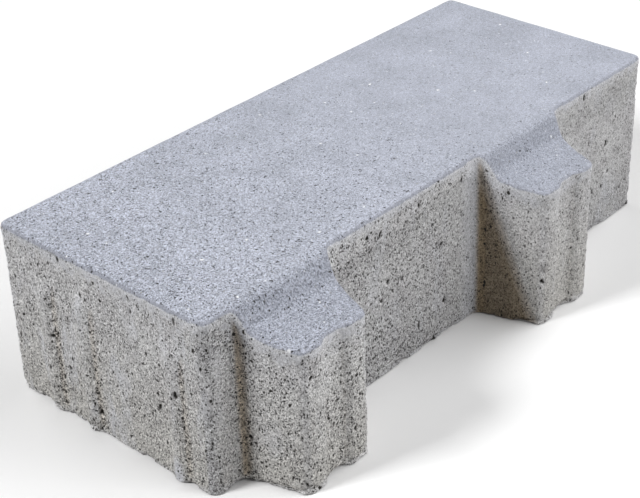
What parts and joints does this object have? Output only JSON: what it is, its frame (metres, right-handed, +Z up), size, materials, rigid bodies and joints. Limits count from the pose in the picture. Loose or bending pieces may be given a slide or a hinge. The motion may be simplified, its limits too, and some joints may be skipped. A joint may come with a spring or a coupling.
{
  "type": "concrete paving stone",
  "caption": "Rectangular pressed concrete paving stone for wide planted joints, with two grooved spacer nubs on one long side and shallow vertical nibs on the ends.",
  "frame": {"origin": "on the bed face, at the middle of the stone's whole outline with its nubs and nibs", "axes": "+X along the stone's length, away from the end that the nubs are nearer to; +Y across its width, from the nub side to the plain long side; +Z up through its thickness, out of the wearing face"},
  "size_m": [0.2942, 0.143, 0.08],
  "materials": {
    "concrete": "pressed concrete, left as it comes from the mould: a fine blue-grey facing on top and in the hollows of the nubs, and open-pored warm grey concrete on the sides"
  },
  "bodies": {
    "root": {"paving_stone": "concrete"}
  },
  "joints": []
}
